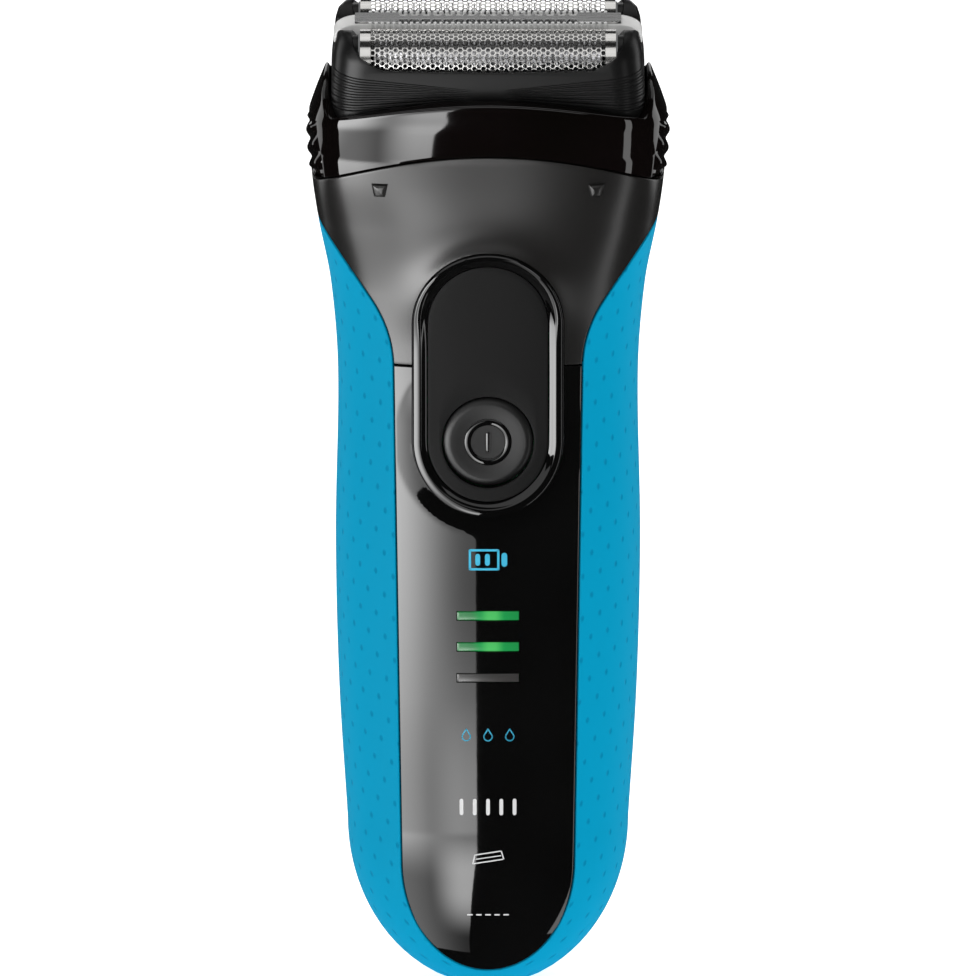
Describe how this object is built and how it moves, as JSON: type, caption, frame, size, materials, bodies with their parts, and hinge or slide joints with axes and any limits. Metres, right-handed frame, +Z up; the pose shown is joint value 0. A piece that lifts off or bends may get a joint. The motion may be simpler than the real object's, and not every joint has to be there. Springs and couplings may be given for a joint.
{
  "type": "electric shaver",
  "caption": "Upright cordless foil shaver with a blue grip, gloss black front, twin foils with a middle trimmer, side release buttons and a pop-up trimmer.",
  "frame": {"origin": "middle of the flat charging end, which is the lowest face", "axes": "+Z up the handle towards the foils, -Y the front face with the switch, +X to the viewer's right when looking at the front"},
  "size_m": [0.0602, 0.0374, 0.1648],
  "materials": {
    "soft_grip": "soft-touch over-moulded grip, light blue, fine dimples",
    "gloss_black": "polished black moulded plastic",
    "satin_black": "satin black moulded plastic",
    "rubber_black": "black elastomer",
    "green_light": "light guide, lit green",
    "grey_light": "light guide, unlit",
    "white_plastic": "white moulded plastic",
    "grey_plastic": "grey moulded plastic",
    "steel": "bright stainless steel",
    "blade_steel": "ground blade steel",
    "brass": "plated contact metal",
    "circuit_green": "solder-resist green circuit board",
    "cell_wrap": "shrink-wrapped cell"
  },
  "bodies": {
    "handle": {"grip_jacket": "soft_grip", "front_panel": "gloss_black", "back_cover": "satin_black", "upper_housing": "satin_black", "head_collar": "gloss_black", "head_deck": "satin_black", "switch_bezel": "gloss_black", "switch_pad": "satin_black", "key_switch": "grey_plastic", "light_guide_upper": "green_light", "light_guide_middle": "green_light", "light_guide_lower": "grey_light", "chassis": "grey_plastic", "main_board": "circuit_green", "board_screw_lower": "steel", "board_screw_upper": "steel", "motor_screw_left": "steel", "motor_screw_right": "steel", "battery_left": "cell_wrap", "battery_right": "cell_wrap", "battery_contact_left": "brass", "battery_contact_right": "brass", "battery_link": "brass", "motor_can": "steel", "charging_inlet": "rubber_black", "inlet_seal": "rubber_black", "charging_pin_left": "brass", "charging_pin_right": "brass", "bellows_seal": "rubber_black", "release_spring_left": "steel", "release_spring_right": "steel"},
    "power_key": {"power_button": "satin_black"},
    "release_left": {"release_button_left": "satin_black"},
    "release_right": {"release_button_right": "satin_black"},
    "rotor": {"motor_rotor": "blade_steel", "drive_crank": "white_plastic"},
    "drive": {"drive_bridge": "white_plastic", "drive_pin": "steel"},
    "cassette": {"cassette_frame": "satin_black", "cassette_base": "grey_plastic"},
    "carrier": {"cutter_carrier": "white_plastic", "cutter_spring_front": "steel", "cutter_spring_rear": "steel"},
    "foil_unit_front": {"foil_front": "steel", "foil_frame_front": "grey_plastic"},
    "foil_unit_rear": {"foil_rear": "steel", "foil_frame_rear": "grey_plastic"},
    "cutter_unit_front": {"cutter_front": "blade_steel"},
    "cutter_unit_rear": {"cutter_rear": "blade_steel"},
    "middle_trimmer": {"trimmer_holder": "white_plastic", "middle_trimmer_comb": "steel"},
    "middle_blade": {"middle_trimmer_blade": "blade_steel"},
    "rear_trimmer": {"rear_trimmer_carriage": "satin_black", "rear_trimmer_thumb": "rubber_black", "rear_trimmer_comb": "steel"},
    "rear_blade": {"rear_trimmer_blade": "blade_steel"}
  },
  "joints": [
    {"name": "power_press", "type": "slide", "parent": "handle", "child": "power_key", "axis": [0, 1, 0], "range_m": [0, 0.0008], "stiffness_N_per_m": 300, "springref_m": -0.001},
    {"name": "release_left_press", "type": "slide", "parent": "handle", "child": "release_left", "axis": [1, 0, 0], "range_m": [0, 0.0012], "stiffness_N_per_m": 300, "springref_m": -0.001, "deforming": ["release_spring_left"]},
    {"name": "release_right_press", "type": "slide", "parent": "handle", "child": "release_right", "axis": [-1, 0, 0], "range_m": [0, 0.0012], "stiffness_N_per_m": 300, "springref_m": -0.001, "deforming": ["release_spring_right"]},
    {"name": "rotor_spin", "type": "hinge", "parent": "handle", "child": "rotor", "pos_m": [0, 0.0043, 0.104], "axis": [0, 0, 1], "continuous": true},
    {"name": "drive_oscillation", "type": "slide", "parent": "handle", "child": "drive", "axis": [1, 0, 0], "range_m": [-0.0012, 0.0012], "stiffness_N_per_m": 400},
    {"name": "cassette_lift", "type": "slide", "parent": "handle", "child": "cassette", "axis": [0, -0.1822, 0.9833], "range_m": [0, 0.02]},
    {"name": "carrier_stroke", "type": "slide", "parent": "cassette", "child": "carrier", "axis": [1, 0, 0], "range_m": [-0.0012, 0.0012]},
    {"name": "foil_front_float", "type": "slide", "parent": "cassette", "child": "foil_unit_front", "axis": [0, -0.1822, 0.9833], "range_m": [-0.0015, 0], "stiffness_N_per_m": 250, "springref_m": 0.002, "deforming": ["cutter_spring_front"]},
    {"name": "foil_rear_float", "type": "slide", "parent": "cassette", "child": "foil_unit_rear", "axis": [0, -0.1822, 0.9833], "range_m": [-0.0015, 0], "stiffness_N_per_m": 250, "springref_m": 0.002, "deforming": ["cutter_spring_rear"]},
    {"name": "cutter_front_stroke", "type": "slide", "parent": "foil_unit_front", "child": "cutter_unit_front", "axis": [1, 0, 0], "range_m": [-0.0012, 0.0012]},
    {"name": "cutter_rear_stroke", "type": "slide", "parent": "foil_unit_rear", "child": "cutter_unit_rear", "axis": [1, 0, 0], "range_m": [-0.0012, 0.0012]},
    {"name": "middle_trimmer_float", "type": "slide", "parent": "cassette", "child": "middle_trimmer", "axis": [0, -0.1822, 0.9833], "range_m": [-0.001, 0], "stiffness_N_per_m": 250, "springref_m": 0.002},
    {"name": "middle_blade_stroke", "type": "slide", "parent": "middle_trimmer", "child": "middle_blade", "axis": [1, 0, 0], "range_m": [-0.0012, 0.0012]},
    {"name": "rear_trimmer_slide", "type": "slide", "parent": "handle", "child": "rear_trimmer", "axis": [0, 0, 1], "range_m": [0, 0.014]},
    {"name": "rear_blade_stroke", "type": "slide", "parent": "rear_trimmer", "child": "rear_blade", "axis": [1, 0, 0], "range_m": [-0.0012, 0.0012]}
  ],
  "couplings": [
    {"joint": "carrier_stroke", "follows": "drive_oscillation", "ratio": 1},
    {"joint": "cutter_front_stroke", "follows": "drive_oscillation", "ratio": 1},
    {"joint": "cutter_rear_stroke", "follows": "drive_oscillation", "ratio": 1},
    {"joint": "middle_blade_stroke", "follows": "drive_oscillation", "ratio": 1},
    {"joint": "rear_blade_stroke", "follows": "drive_oscillation", "ratio": 1}
  ]
}
